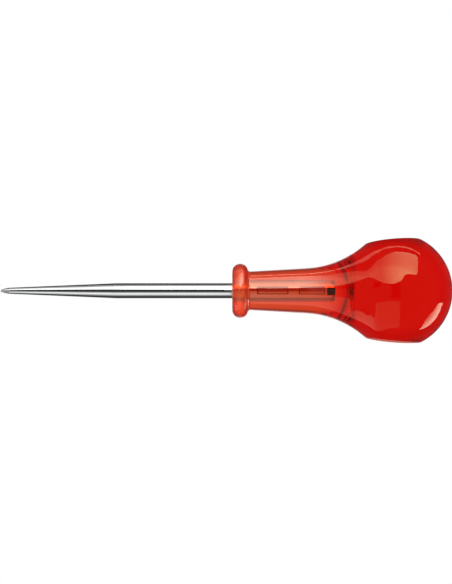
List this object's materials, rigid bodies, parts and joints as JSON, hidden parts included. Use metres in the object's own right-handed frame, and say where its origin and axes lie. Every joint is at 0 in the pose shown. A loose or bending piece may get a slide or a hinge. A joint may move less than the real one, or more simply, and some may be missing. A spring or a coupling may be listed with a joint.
{
  "type": "bradawl",
  "caption": "Bradawl: a tapered round steel blade fixed in a transparent red ball handle with a collar, a flared neck and opposite flats that stop it rolling.",
  "frame": {"origin": "on the tool's axis, in the plane of the collar's front face, where the blade leaves the handle", "axes": "+X along the tool's axis towards the butt of the handle, so the point is at -X; +Z square to the upper flat's width, so the two flats on the ball face up and down"},
  "size_m": [0.156, 0.04, 0.0358],
  "materials": {
    "plated_steel": "bright plated, polished",
    "red_plastic": "polished, transparent"
  },
  "bodies": {
    "root": {"blade": "plated_steel", "handle": "red_plastic"}
  },
  "joints": []
}
